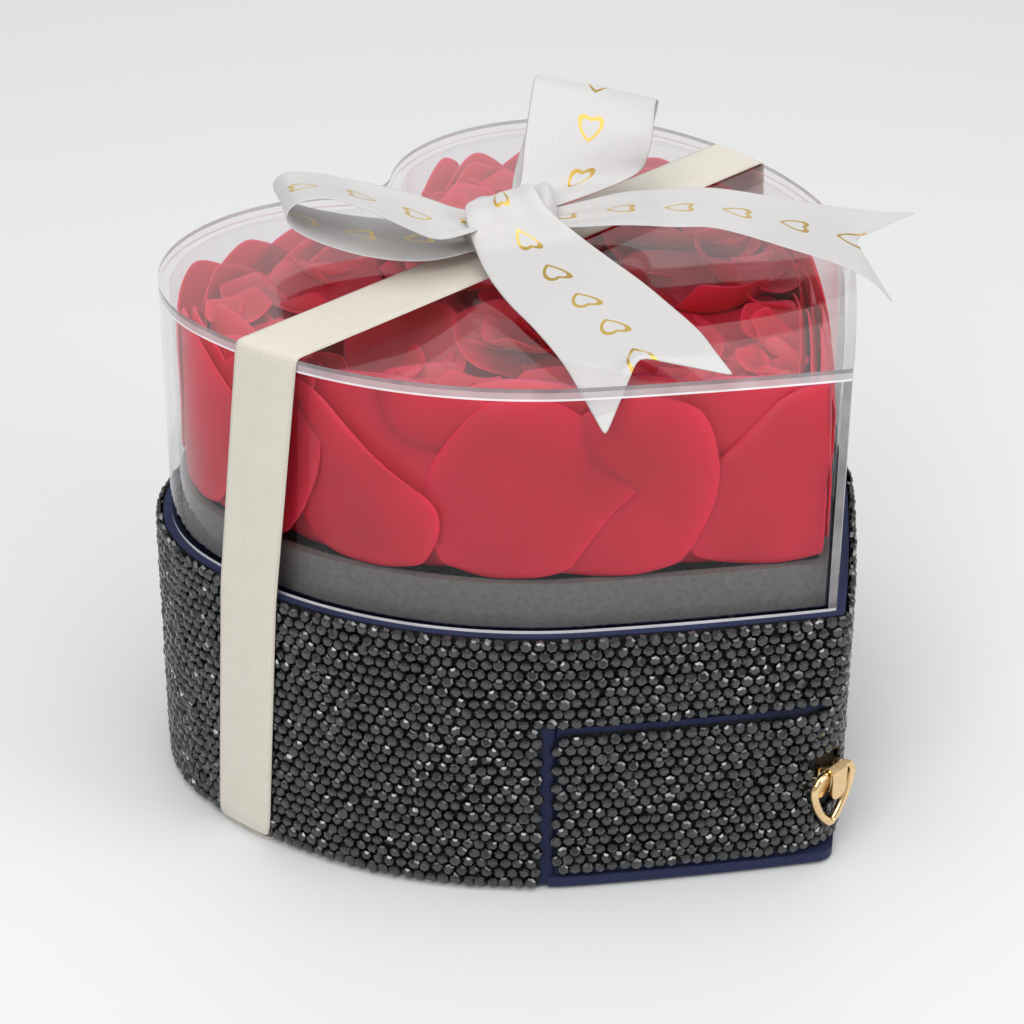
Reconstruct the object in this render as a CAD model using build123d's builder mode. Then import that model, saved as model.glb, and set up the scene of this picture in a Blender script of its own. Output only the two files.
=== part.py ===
"""Valentine heart box: a neck and shoulder gift box with a stone-covered base, a velvet-lined drawer
in its point, three roses on foam, and a clear lid tied with a ribbon band and a bow.
Frame: millimetres, +Z up, the point with the drawer toward -Y, the cleft toward +Y, origin on the
resting plane below the line of the two lobe centres."""
import os
from math import acos, atan2, cos, degrees, radians, sin, sqrt

from build123d import *

# Heart outline, taken on the outside of the stones
heart_width = 140.0
lobe_radius = 39.5
shoulder_radius = 84.0
side_radius = 600.0
cleft_radius = 8.0
shoulder_angle = 4.5
side_angle = -51.0

# Heights
base_height = 55.0
box_height = 104.0
cover_thick = 0.8
floor_thick = 2.0
shelf_thick = 2.0
neck_rise = 9.0
foam_drop = 4.0

# Shell thicknesses, counted inward from the stones
stone_thick = 1.4
stone_course = 6.6
stone_groove = 1.0
stone_relief = 0.7
wall_thick = 3.9
neck_thick = 1.8
lid_setback = 3.0
acrylic_thick = 2.0
tip_round = 1.6
floor_tip_round = 4.0
lid_tip_round = 0.6
cover_inset = 16.0

# Drawer
opening_y = -63.4
opening_top = 36.2
drawer_gap = 0.5
stone_margin = 0.6
stone_gap = 0.5
drawer_lift = 0.4
front_tip_round = 12.0
front_flat_depth = 3.6
tray_clearance = 1.4
tray_floor_thick = 1.6
tray_board = 2.0
tray_depth = 72.0
tray_drop = 4.6
guide_clearance = 0.5
guide_thick = 2.0
guide_start = 3.0
stop_gap = 1.0
insert_height = 10.4
insert_clearance = 0.3
ring_slot_length = 44.0
ring_slot_width = 2.4
ring_slot_depth = 8.0
ring_slot_pitch = 9.0
ring_slot_count = 4
ring_slot_y = -22.0
chain_well_radius = 11.0
chain_well_y = -62.0

# Pull
pull_height = 20.8
pull_wire = 0.8
pull_lobe_radius = 2.7
pull_lobe_x = 3.0
pull_bar_half = 2.4
pull_fillet = 0.6
pull_side_radius = 16.0
pull_side_angle = -15.0
pull_tip_round = 1.3
pull_stand_off = 0.4
strap_clearance = 0.2
strap_thick = 0.6
strap_width = 4.4
strap_drop = 6.6
tongue_drop = 5.4
tongue_round = 2.0
rivet_radius = 0.9
rivet_head_radius = 1.8
rivet_head_thick = 0.8
rivet_drop = 3.4
strap_window_margin = 0.4

# Ribbon band
band_width = 14.0
band_thick = 0.5
band_y = -15.0
band_gap = 0.3
band_slant = 7.5
band_foot = 1.0
tab_length = 12.0
tab_thick = 0.4

# Bow
bow_width = 25.0
bow_thick = 0.5
bow_root_width = 7.0
bow_steps = 18
bow_gather = 22.0
bow_notch = 11.0
knot_x = -4.0
knot_radius = 7.5
knot_height = 10.0
knot_round = 3.5
loop_root_height = 5.0
root_share = 0.55
left_loop_angle = 143.0
left_loop_length = 42.0
left_loop_rise = 9.5
left_loop_shares = (
    (0.0, 0.12), (0.30, 0.42), (0.66, 0.86), (0.92, 1.0), (1.0, 0.72), (0.90, 0.34), (0.60, 0.02), (0.28, -0.12),
    (0.0, -0.14),
)
upper_loop_angle = 13.0
upper_loop_length = 36.0
upper_loop_rise = 17.0
upper_loop_shares = (
    (0.0, 0.10), (0.28, 0.16), (0.54, 0.30), (0.73, 0.64), (0.88, 0.94), (0.96, 1.0), (1.0, 0.88), (0.94, 0.52),
    (0.62, 0.12), (0.28, -0.04), (0.0, -0.06),
)
tail_root_height = 3.2
front_tail_angle = -112.0
front_tail_length = 68.0
front_tail_rise = 2.2
front_tail_shares = ((0.0, 0.3), (0.10, 1.2), (0.30, -0.2), (0.50, -0.4), (0.72, -0.55), (0.88, -0.8), (1.0, -1.15))
right_tail_angle = -48.5
right_tail_length = 79.0
right_tail_rise = 5.2
right_tail_shares = ((0.0, 0.0), (0.20, 0.8), (0.48, 1.0), (0.66, 0.5), (0.82, -0.2), (1.0, -1.0))

# Roses and loose petals, ring shares are of the rose radius and height
rose_height = 36.5
rose_gap = 1.4
rose_headroom = 5.5
tip_rose_y = -45.0
petal_thick = 0.9
petal_gap = 1.1
petal_part_angle = 4.0
petal_root_gap = 0.12
petal_lift_share = 0.5
petal_round_share = 0.42
wall_petal_gap = 0.45
wall_petal_width = 31.0
wall_petal_round = 13.0
petal_layer_step = 1.3
ring_counts_share = (5, 4, 3)
ring_turns_share = (0.0, 36.0, 10.0)
outer_ring_shares = ((0.26, 0.0), (0.74, 0.14), (0.93, 0.42), (0.985, 0.76))
middle_ring_shares = ((0.20, 0.10), (0.54, 0.27), (0.665, 0.54), (0.68, 0.88))
inner_ring_shares = ((0.18, 0.24), (0.36, 0.38), (0.415, 0.64), (0.39, 0.96))
core_shares = ((0.33, 0.0), (0.33, 0.03), (0.21, 0.14), (0.195, 0.66), (0.13, 0.93))
lobe_petal_angles = (112.0, 70.0, 30.0)
shoulder_petal_angles = (-4.0, -21.0, -38.0)
side_petal_shares = (0.16, 0.72)

# Insets and levels that follow from the sizes above
wall_inset = stone_thick
neck_inset = stone_thick + wall_thick
foam_inset = neck_inset + neck_thick
lid_inner_inset = lid_setback + acrylic_thick
floor_top = cover_thick + floor_thick
shelf_top = opening_top + shelf_thick
neck_top = base_height + neck_rise
foam_top = neck_top - foam_drop
lid_top_under = box_height - acrylic_thick
band_top = box_height + band_thick

# Centres of the heart's arcs
shoulder_x = heart_width / 2 - shoulder_radius
lobe_x = shoulder_x + (shoulder_radius - lobe_radius) * cos(radians(shoulder_angle))
shoulder_y = (lobe_radius - shoulder_radius) * sin(radians(shoulder_angle))
side_x = shoulder_x + (shoulder_radius - side_radius) * cos(radians(side_angle))
side_y = shoulder_y + (shoulder_radius - side_radius) * sin(radians(side_angle))
cleft_y = sqrt((lobe_radius + cleft_radius) ** 2 - lobe_x**2)
cleft_angle = degrees(atan2(-cleft_y, lobe_x))
lobe_end_angle = degrees(atan2(cleft_y, -lobe_x))


def tip_y(inset, tip_radius=0.0):
    """Where the heart's point lies, on the outline moved inward by inset and rounded by tip_radius."""
    return side_y - sqrt((side_radius - inset - tip_radius) ** 2 - side_x**2) - tip_radius


def side_half_width(y, inset):
    """Half the width of the heart at y, on the long sides toward the point."""
    return side_x + sqrt((side_radius - inset) ** 2 - (y - side_y) ** 2)


def heart_face(inset, tip_radius=0.0, mode=Mode.ADD):
    """The heart moved inward by inset, as a face of the sketch in work."""
    side_r = side_radius - inset
    shoulder_r = shoulder_radius - inset
    lobe_r = lobe_radius - inset
    tip_centre = side_y - sqrt((side_r - tip_radius) ** 2 - side_x**2)
    tip_angle = degrees(atan2(tip_centre - side_y, -side_x))
    lobe_sweep = lobe_end_angle - shoulder_angle
    shoulder_sweep = shoulder_angle - side_angle
    side_sweep = side_angle - tip_angle
    with BuildLine() as outline:
        CenterArc((0, cleft_y), cleft_radius + inset, -180 - cleft_angle, 180 + 2 * cleft_angle)
        CenterArc((lobe_x, 0), lobe_r, shoulder_angle, lobe_sweep)
        CenterArc((shoulder_x, shoulder_y), shoulder_r, side_angle, shoulder_sweep)
        CenterArc((side_x, side_y), side_r, tip_angle, side_sweep)
        if tip_radius > 0:
            CenterArc((0, tip_centre), tip_radius, -180 - tip_angle, 180 + 2 * tip_angle)
        CenterArc((-side_x, side_y), side_r, 180 - side_angle, side_sweep)
        CenterArc((-shoulder_x, shoulder_y), shoulder_r, 180 - shoulder_angle, shoulder_sweep)
        CenterArc((-lobe_x, 0), lobe_r, 180 - lobe_end_angle, lobe_sweep)
    make_face(outline.edges(), mode=mode)


def keep_front(limit_y):
    """Keep only what lies on the point's side of limit_y in the sketch in work."""
    with Locations((0, limit_y - heart_width / 2)):
        Rectangle(2 * heart_width, heart_width, mode=Mode.INTERSECT)


def keep_back(limit_y):
    """Keep only what lies on the cleft's side of limit_y in the sketch in work."""
    with Locations((0, limit_y + heart_width)):
        Rectangle(2 * heart_width, 2 * heart_width, mode=Mode.INTERSECT)


def cut_front(limit_y):
    """Take away what lies on the point's side of limit_y in the sketch in work."""
    with Locations((0, limit_y - heart_width / 2)):
        Rectangle(2 * heart_width, heart_width, mode=Mode.SUBTRACT)


os.makedirs("parts", exist_ok=True)

# Bottom cover: thin board that the box rests on
with BuildPart() as bottom_cover:
    with BuildSketch(Plane.XY):
        heart_face(cover_inset)
    extrude(amount=cover_thick)
bottom_cover.part.label = "bottom_cover"
export_step(bottom_cover.part, "parts/bottom_cover.step")

# Floor board: its velvet edge stands out below the drawer and is hidden by the stones elsewhere
with BuildPart() as base_floor:
    with BuildSketch(Plane.XY.offset(cover_thick)):
        heart_face(stone_thick / 2, floor_tip_round)
        keep_front(opening_y)
    extrude(amount=floor_thick)
    with BuildSketch(Plane.XY.offset(cover_thick)):
        heart_face(wall_inset, tip_round)
        keep_back(opening_y)
    extrude(amount=floor_thick)
base_floor.part.label = "base_floor"
export_step(base_floor.part, "parts/base_floor.step")

# Wall: velvet-wrapped board bent to the heart, with the drawer opening cut in the point
with BuildPart() as base_wall:
    with BuildSketch(Plane.XY.offset(floor_top)):
        heart_face(wall_inset, tip_round)
        heart_face(neck_inset, mode=Mode.SUBTRACT)
        keep_back(opening_y)
    extrude(amount=opening_top - floor_top)
    with BuildSketch(Plane.XY.offset(opening_top)):
        heart_face(wall_inset, tip_round)
        heart_face(neck_inset, mode=Mode.SUBTRACT)
    extrude(amount=base_height - opening_top)
base_wall.part.label = "base_wall"
export_step(base_wall.part, "parts/base_wall.step")


# Stones of the base: courses of stone trim glued one above the other, ending short of the drawer opening
def stone_levels(bottom, top):
    """Bottom, height and relief of each groove and course of stones between two heights."""
    count = max(round((top - bottom) / stone_course), 1)
    step = (top - bottom) / count
    levels = []
    for index in range(count):
        start = bottom + index * step
        levels.append((start, stone_groove, stone_relief))
        levels.append((start + stone_groove, step - stone_groove, 0))
    return levels


with BuildPart() as base_rhinestones:
    for bottom, height, relief in stone_levels(cover_thick, opening_top):
        with BuildSketch(Plane.XY.offset(bottom)):
            heart_face(relief, tip_round + stone_thick - relief)
            heart_face(wall_inset, tip_round, mode=Mode.SUBTRACT)
            keep_back(opening_y + stone_margin)
        extrude(amount=height)
    for bottom, height, relief in stone_levels(opening_top, base_height):
        with BuildSketch(Plane.XY.offset(bottom)):
            heart_face(relief, tip_round + stone_thick - relief)
            heart_face(wall_inset, tip_round, mode=Mode.SUBTRACT)
        extrude(amount=height)
base_rhinestones.part.label = "base_rhinestones"
export_step(base_rhinestones.part, "parts/base_rhinestones.step")

# Drawer bay: two guides and a back stop standing between the floor and the shelf
tray_half = side_half_width(opening_y, neck_inset) - tray_clearance
guide_inner = tray_half + guide_clearance
tray_front_y = opening_y - drawer_gap
tray_back_y = tray_front_y + tray_depth
guide_front_y = opening_y + guide_start
stop_y = tray_back_y + stop_gap
guide_length = stop_y - guide_front_y
bay_height = opening_top - floor_top
with BuildPart() as left_drawer_guide:
    with BuildSketch(Plane.XY.offset(floor_top)):
        with Locations((-guide_inner - guide_thick / 2, guide_front_y + guide_length / 2)):
            Rectangle(guide_thick, guide_length)
    extrude(amount=bay_height)
left_drawer_guide.part.label = "left_drawer_guide"
export_step(left_drawer_guide.part, "parts/left_drawer_guide.step")

with BuildPart() as right_drawer_guide:
    with BuildSketch(Plane.XY.offset(floor_top)):
        with Locations((guide_inner + guide_thick / 2, guide_front_y + guide_length / 2)):
            Rectangle(guide_thick, guide_length)
    extrude(amount=bay_height)
right_drawer_guide.part.label = "right_drawer_guide"
export_step(right_drawer_guide.part, "parts/right_drawer_guide.step")

with BuildPart() as bay_back_stop:
    with BuildSketch(Plane.XY.offset(floor_top)):
        heart_face(neck_inset)
        with Locations((0, stop_y + guide_thick / 2)):
            Rectangle(2 * (guide_inner + guide_thick), guide_thick, mode=Mode.INTERSECT)
    extrude(amount=bay_height)
bay_back_stop.part.label = "bay_back_stop"
export_step(bay_back_stop.part, "parts/bay_back_stop.step")

# Shelf: closes the bay and carries the neck and the foam
with BuildPart() as shelf:
    with BuildSketch(Plane.XY.offset(opening_top)):
        heart_face(neck_inset)
    extrude(amount=shelf_thick)
shelf.part.label = "shelf"
export_step(shelf.part, "parts/shelf.step")

# Neck: grey ring inside the wall that stands above the ledge and centres the lid
with BuildPart() as lid_neck:
    with BuildSketch(Plane.XY.offset(shelf_top)):
        heart_face(neck_inset)
        heart_face(foam_inset, mode=Mode.SUBTRACT)
    extrude(amount=neck_top - shelf_top)
lid_neck.part.label = "lid_neck"
export_step(lid_neck.part, "parts/lid_neck.step")

# Foam: holds the rose stems
with BuildPart() as foam_bed:
    with BuildSketch(Plane.XY.offset(shelf_top)):
        heart_face(foam_inset)
    extrude(amount=foam_top - shelf_top)
foam_bed.part.label = "foam_bed"
export_step(foam_bed.part, "parts/foam_bed.step")

# Roses: a bud and three rings of petals, each petal cut from a turned cup
petal_inset = foam_inset + wall_petal_gap + petal_thick
rose_reach = min(rose_height, lid_top_under - rose_headroom - foam_top)
lobe_rose_radius = min(lobe_radius - petal_inset - rose_gap, lobe_x - rose_gap / 2)
tip_rose_side = side_half_width(tip_rose_y, petal_inset) * sin(radians(90 + side_angle))
tip_rose_lobe = sqrt(lobe_x**2 + tip_rose_y**2) - lobe_rose_radius
tip_rose_radius = min(tip_rose_side, tip_rose_lobe) - rose_gap


def upright_plane(x, y, z, angle):
    """Plane standing on the point x, y, z, its x axis pointing outward at angle and its y axis up."""
    turn = radians(angle)
    return Plane(origin=(x, y, z), x_dir=(cos(turn), sin(turn), 0), z_dir=(sin(turn), -cos(turn), 0))


def facing_plane(x, y, z, angle):
    """Plane standing on the point x, y, z and facing outward at angle, its y axis up."""
    turn = radians(angle)
    return Plane(origin=(x, y, z), x_dir=(-sin(turn), cos(turn), 0), z_dir=(cos(turn), sin(turn), 0))


def rose_core(x, y, radius, swell):
    """The closed bud with the flared calyx below it, swollen where petals are cut clear of it."""
    stem = [(0, 0)]
    rim = [(r * radius + swell, h * rose_reach) for r, h in core_shares]
    with BuildPart() as core:
        with BuildSketch(upright_plane(x, y, foam_top, 0)):
            with BuildLine():
                Polyline(stem + rim + [(0, rose_reach + swell)], close=True)
            make_face()
        revolve(axis=Axis((x, y, foam_top), (0, 0, 1)))
    return core.part


def rose_petal(x, y, radius, shares, middle, count, core):
    """One petal: a slice of a turned cup, trimmed to a round-shouldered outline."""
    sweep = 360 / count - petal_part_angle
    tops = [(r * radius, h * rose_reach) for r, h in shares]
    backs = [(r - petal_thick, h + petal_thick * petal_lift_share) for r, h in reversed(tops)]
    rim_radius = tops[-1][0]
    rim_height = tops[-1][1]
    width = 2 * rim_radius * sin(radians(sweep / 2)) - petal_gap
    with BuildPart() as petal:
        with BuildSketch(upright_plane(x, y, foam_top, middle - sweep / 2)):
            with BuildLine():
                Polyline(tops + backs, close=True)
            make_face()
        revolve(axis=Axis((x, y, foam_top), (0, 0, 1)), revolution_arc=sweep)
        with BuildSketch(facing_plane(x, y, foam_top, middle)):
            RectangleRounded(width, 2 * rim_height, width * petal_round_share)
        extrude(amount=radius, mode=Mode.INTERSECT)
        add(core, mode=Mode.SUBTRACT)
    return petal.part


def rose_solids(x, y, radius, turn):
    """All the solids of one rose."""
    solids = [rose_core(x, y, radius, 0)]
    core = rose_core(x, y, radius, petal_root_gap)
    ring_shares = (outer_ring_shares, middle_ring_shares, inner_ring_shares)
    for shares, count, offset_turn in zip(ring_shares, ring_counts_share, ring_turns_share):
        for index in range(count):
            middle = turn + offset_turn + 360 * index / count
            solids.append(rose_petal(x, y, radius, shares, middle, count, core))
    return solids


rose_left_solids = rose_solids(-lobe_x, 0, lobe_rose_radius, 90)
with BuildPart() as rose_left:
    for solid in rose_left_solids:
        add(solid)
rose_left.part.label = "rose_left"
export_step(rose_left.part, "parts/rose_left.step")

rose_right_solids = rose_solids(lobe_x, 0, lobe_rose_radius, 54)
with BuildPart() as rose_right:
    for solid in rose_right_solids:
        add(solid)
rose_right.part.label = "rose_right"
export_step(rose_right.part, "parts/rose_right.step")

rose_tip_solids = rose_solids(0, tip_rose_y, tip_rose_radius, -90)
with BuildPart() as rose_tip:
    for solid in rose_tip_solids:
        add(solid)
rose_tip.part.label = "rose_tip"
export_step(rose_tip.part, "parts/rose_tip.step")


# Loose petals: they stand on the neck and on the foam, spread against the clear wall
def wall_petal(x, y, angle, inset, bottom):
    """One petal that follows the clear wall at x, y, where the wall faces outward at angle."""
    height = foam_top + rose_reach - bottom
    with BuildPart() as petal:
        with BuildSketch(Plane.XY.offset(bottom)):
            heart_face(inset)
            heart_face(inset + petal_thick, mode=Mode.SUBTRACT)
            half_x = heart_width / 2 if x > 0 else -heart_width / 2
            with Locations((half_x, 0)):
                Rectangle(heart_width - petal_gap, 2 * heart_width, mode=Mode.INTERSECT)
        extrude(amount=height)
        with BuildSketch(facing_plane(x, y, bottom, angle)):
            RectangleRounded(wall_petal_width, 2 * height, wall_petal_round)
        extrude(amount=wall_petal_width / 2, both=True, mode=Mode.INTERSECT)
    return petal.part


front_layer = lid_inner_inset + wall_petal_gap
back_layer = foam_inset + wall_petal_gap
side_spots = []
for angle in lobe_petal_angles:
    turn = radians(angle)
    side_spots.append((lobe_x + lobe_radius * cos(turn), lobe_radius * sin(turn), angle))
for angle in shoulder_petal_angles:
    turn = radians(angle)
    spot_x = shoulder_x + shoulder_radius * cos(turn)
    side_spots.append((spot_x, shoulder_y + shoulder_radius * sin(turn), angle))
side_start_y = shoulder_y + shoulder_radius * sin(radians(side_angle))
for share in side_petal_shares:
    spot_y = side_start_y + share * (tip_y(0) - side_start_y)
    spot_angle = -degrees(acos((side_half_width(spot_y, 0) - side_x) / side_radius))
    side_spots.append((side_half_width(spot_y, 0), spot_y, spot_angle))
petal_solids = []
for index, (spot_x, spot_y, angle) in enumerate(side_spots):
    layer = front_layer if index % 2 == 0 else back_layer
    bottom = neck_top if index % 2 == 0 else foam_top
    petal_solids.append(wall_petal(spot_x, spot_y, angle, layer, bottom))
    petal_solids.append(wall_petal(-spot_x, spot_y, 180 - angle, layer, bottom))
with BuildPart() as wall_petals:
    for solid in petal_solids:
        add(solid)
wall_petals.part.label = "wall_petals"
export_step(wall_petals.part, "parts/wall_petals.step")

# Drawer front: the cut-out point of the wall, with a flat glue block behind its tip
front_bottom = floor_top + drawer_lift
front_top = opening_top - drawer_gap
front_height = front_top - front_bottom
flat_y = tip_y(neck_inset) + front_flat_depth
skin_tip = tip_y(0, front_tip_round + stone_thick)
ring_y = skin_tip - pull_stand_off - pull_wire
rivet_z = pull_height - rivet_drop
board_tip = tip_y(wall_inset, front_tip_round)
with BuildPart() as drawer_front:
    with BuildSketch(Plane.XY.offset(front_bottom)):
        heart_face(wall_inset, front_tip_round)
        keep_front(tray_front_y)
    extrude(amount=front_height)
    with BuildSketch(Plane.XY.offset(front_bottom)):
        heart_face(neck_inset)
        cut_front(flat_y)
    extrude(amount=front_height, mode=Mode.SUBTRACT)
    with BuildSketch(Plane.XZ.offset(-flat_y)):
        with Locations((0, rivet_z)):
            Circle(rivet_radius)
    extrude(amount=flat_y - board_tip + stone_thick, mode=Mode.SUBTRACT)
drawer_front.part.label = "drawer_front"
export_step(drawer_front.part, "parts/drawer_front.step")

# Stones of the drawer: left out where the strap of the pull is seated
strap_top = pull_height + pull_wire + strap_clearance + strap_thick
strap_bottom = pull_height - strap_drop
with BuildPart() as drawer_rhinestones:
    for bottom, height, relief in stone_levels(front_bottom + stone_gap, front_top - stone_gap):
        with BuildSketch(Plane.XY.offset(bottom)):
            heart_face(relief, front_tip_round + stone_thick - relief)
            heart_face(wall_inset, front_tip_round, mode=Mode.SUBTRACT)
            keep_front(tray_front_y - stone_gap)
        extrude(amount=height)
    with BuildSketch(Plane.XZ.offset(-board_tip)):
        with Locations((0, (strap_top + strap_bottom) / 2)):
            window_height = strap_top - strap_bottom + 2 * strap_window_margin
            Rectangle(strap_width + 2 * strap_window_margin, window_height)
    extrude(amount=2 * stone_thick, both=True, mode=Mode.SUBTRACT)
drawer_rhinestones.part.label = "drawer_rhinestones"
export_step(drawer_rhinestones.part, "parts/drawer_rhinestones.step")

# Drawer tray: floor, two sides and a back, glued to the front
tray_top = front_top - tray_drop
side_bottom = front_bottom + tray_floor_thick
with BuildPart() as drawer_floor:
    with BuildSketch(Plane.XY.offset(front_bottom)):
        heart_face(neck_inset)
        cut_front(flat_y)
        with Locations((0, (flat_y + tray_back_y) / 2)):
            Rectangle(2 * tray_half, tray_back_y - flat_y, mode=Mode.INTERSECT)
    extrude(amount=tray_floor_thick)
drawer_floor.part.label = "drawer_floor"
export_step(drawer_floor.part, "parts/drawer_floor.step")

with BuildPart() as drawer_left_side:
    with BuildSketch(Plane.XY.offset(side_bottom)):
        heart_face(neck_inset)
        with Locations((-tray_half + tray_board / 2, (flat_y + tray_back_y) / 2)):
            Rectangle(tray_board, tray_back_y - flat_y, mode=Mode.INTERSECT)
    extrude(amount=tray_top - side_bottom)
drawer_left_side.part.label = "drawer_left_side"
export_step(drawer_left_side.part, "parts/drawer_left_side.step")

with BuildPart() as drawer_right_side:
    with BuildSketch(Plane.XY.offset(side_bottom)):
        heart_face(neck_inset)
        with Locations((tray_half - tray_board / 2, (flat_y + tray_back_y) / 2)):
            Rectangle(tray_board, tray_back_y - flat_y, mode=Mode.INTERSECT)
    extrude(amount=tray_top - side_bottom)
drawer_right_side.part.label = "drawer_right_side"
export_step(drawer_right_side.part, "parts/drawer_right_side.step")

with BuildPart() as drawer_back:
    with BuildSketch(Plane.XY.offset(side_bottom)):
        with Locations((0, tray_back_y - tray_board / 2)):
            Rectangle(2 * (tray_half - tray_board), tray_board)
    extrude(amount=tray_top - side_bottom)
drawer_back.part.label = "drawer_back"
export_step(drawer_back.part, "parts/drawer_back.step")

# Velvet insert: foam block with ring slots and a round well for a chain
insert_half = tray_half - tray_board - insert_clearance
insert_back_y = tray_back_y - tray_board - insert_clearance
insert_top = side_bottom + insert_height
with BuildPart() as jewellery_insert:
    with BuildSketch(Plane.XY.offset(side_bottom)):
        heart_face(neck_inset + insert_clearance)
        cut_front(flat_y + insert_clearance)
        with Locations((0, (flat_y + insert_back_y) / 2)):
            Rectangle(2 * insert_half, insert_back_y - flat_y, mode=Mode.INTERSECT)
    extrude(amount=insert_height)
    with BuildSketch(Plane.XY.offset(insert_top)):
        with Locations((0, ring_slot_y)):
            with GridLocations(ring_slot_length, ring_slot_pitch, 1, ring_slot_count):
                SlotOverall(ring_slot_length, ring_slot_width)
        with Locations((0, chain_well_y)):
            Circle(chain_well_radius)
    extrude(amount=-ring_slot_depth, mode=Mode.SUBTRACT)
jewellery_insert.part.label = "jewellery_insert"
export_step(jewellery_insert.part, "parts/jewellery_insert.step")

# Strap of the pull: seated on the board, bent over the ring's bar and down again as a tongue
strap_inner = pull_wire + strap_clearance
strap_outer = strap_inner + strap_thick
with BuildPart() as pull_bracket:
    with BuildSketch(Plane.YZ.offset(-strap_width / 2)):
        with Locations((ring_y, pull_height)):
            Circle(strap_outer)
        with Locations(((board_tip + ring_y) / 2, pull_height + strap_outer - strap_thick / 2)):
            Rectangle(board_tip - ring_y, strap_thick)
        with Locations((board_tip - strap_thick / 2, (strap_top + strap_bottom) / 2)):
            Rectangle(strap_thick, strap_top - strap_bottom)
        with Locations((ring_y - strap_inner - strap_thick / 2, pull_height - tongue_drop / 2)):
            Rectangle(strap_thick, tongue_drop)
        with Locations((ring_y, pull_height)):
            Circle(strap_inner, mode=Mode.SUBTRACT)
        with Locations((ring_y, pull_height - strap_drop / 2)):
            Rectangle(2 * strap_inner, strap_drop, mode=Mode.SUBTRACT)
    extrude(amount=strap_width)
    with BuildSketch(Plane.XZ.offset(-board_tip)):
        with Locations((0, rivet_z)):
            Circle(rivet_radius)
    extrude(amount=strap_thick, mode=Mode.SUBTRACT)
    tongue_edges = pull_bracket.edges().filter_by(Axis.Y).group_by(Axis.Y)[0]
    fillet(tongue_edges.group_by(Axis.Z)[0], tongue_round)
pull_bracket.part.label = "pull_bracket"
export_step(pull_bracket.part, "parts/pull_bracket.step")

# Rivet: holds the strap on the front board, its head inside the drawer
with BuildPart() as pull_rivet:
    with BuildSketch(Plane.XZ.offset(-flat_y)):
        with Locations((0, rivet_z)):
            Circle(rivet_radius)
    extrude(amount=flat_y - board_tip + strap_thick)
    with BuildSketch(Plane.XZ.offset(-flat_y)):
        with Locations((0, rivet_z)):
            Circle(rivet_head_radius)
    extrude(amount=-rivet_head_thick)
pull_rivet.part.label = "pull_rivet"
export_step(pull_rivet.part, "parts/pull_rivet.step")

# Pull ring: round wire bent to a flat-topped heart, hung by its top bar
bar_y = sqrt((pull_lobe_radius + pull_fillet) ** 2 - (pull_lobe_x - pull_bar_half) ** 2) - pull_fillet
bend_angle = degrees(atan2(-bar_y - pull_fillet, pull_lobe_x - pull_bar_half))
ring_side_x = pull_lobe_x + (pull_lobe_radius - pull_side_radius) * cos(radians(pull_side_angle))
ring_side_y = (pull_lobe_radius - pull_side_radius) * sin(radians(pull_side_angle))
ring_tip_y = ring_side_y - sqrt((pull_side_radius - pull_tip_round) ** 2 - ring_side_x**2)
ring_tip_angle = degrees(atan2(ring_tip_y - ring_side_y, -ring_side_x))
ring_plane = Plane(origin=(0, ring_y, pull_height - bar_y), x_dir=(1, 0, 0), z_dir=(0, -1, 0))
ring_side_sweep = pull_side_angle - ring_tip_angle
ring_lobe_sweep = 180 + bend_angle - pull_side_angle
with BuildPart() as pull_ring:
    with BuildLine(ring_plane) as ring_path:
        Line((-pull_bar_half, bar_y), (pull_bar_half, bar_y))
        CenterArc((pull_bar_half, bar_y + pull_fillet), pull_fillet, -90, 90 + bend_angle)
        CenterArc((pull_lobe_x, 0), pull_lobe_radius, pull_side_angle, ring_lobe_sweep)
        CenterArc((ring_side_x, ring_side_y), pull_side_radius, ring_tip_angle, ring_side_sweep)
        CenterArc((0, ring_tip_y), pull_tip_round, -180 - ring_tip_angle, 180 + 2 * ring_tip_angle)
        CenterArc((-ring_side_x, ring_side_y), pull_side_radius, 180 - pull_side_angle, ring_side_sweep)
        CenterArc((-pull_lobe_x, 0), pull_lobe_radius, -bend_angle, ring_lobe_sweep)
        CenterArc((-pull_bar_half, bar_y + pull_fillet), pull_fillet, 180 - bend_angle, 90 + bend_angle)
    with BuildSketch(Plane.YZ.offset(0)):
        with Locations((ring_y, pull_height)):
            Circle(pull_wire)
    sweep(path=ring_path.wire())
pull_ring.part.label = "pull_ring"
export_step(pull_ring.part, "parts/pull_ring.step")

# Lid: clear heart wall with a clear plate bonded on top
with BuildPart() as lid_wall:
    with BuildSketch(Plane.XY.offset(base_height)):
        heart_face(lid_setback, lid_tip_round)
        heart_face(lid_inner_inset, mode=Mode.SUBTRACT)
    extrude(amount=lid_top_under - base_height)
lid_wall.part.label = "lid_wall"
export_step(lid_wall.part, "parts/lid_wall.step")

with BuildPart() as lid_top:
    with BuildSketch(Plane.XY.offset(lid_top_under)):
        heart_face(lid_setback, lid_tip_round)
    extrude(amount=acrylic_thick)
lid_top.part.label = "lid_top"
export_step(lid_top.part, "parts/lid_top.step")


# Ribbon band: over the lid, slanting from its edge out to the ledge, then down the stones, the left leg askew
def band_section(inset, hand, height):
    """Cross-section of one leg of the band at height, its inner face at inset, in the sketch in work."""
    slant = band_slant * (band_top - height) / (band_top - band_foot)
    heart_face(inset - band_thick)
    heart_face(inset, mode=Mode.SUBTRACT)
    with Locations((hand * heart_width / 2, band_y + (slant if hand < 0 else 0))):
        Rectangle(heart_width, band_width, mode=Mode.INTERSECT)


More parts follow.
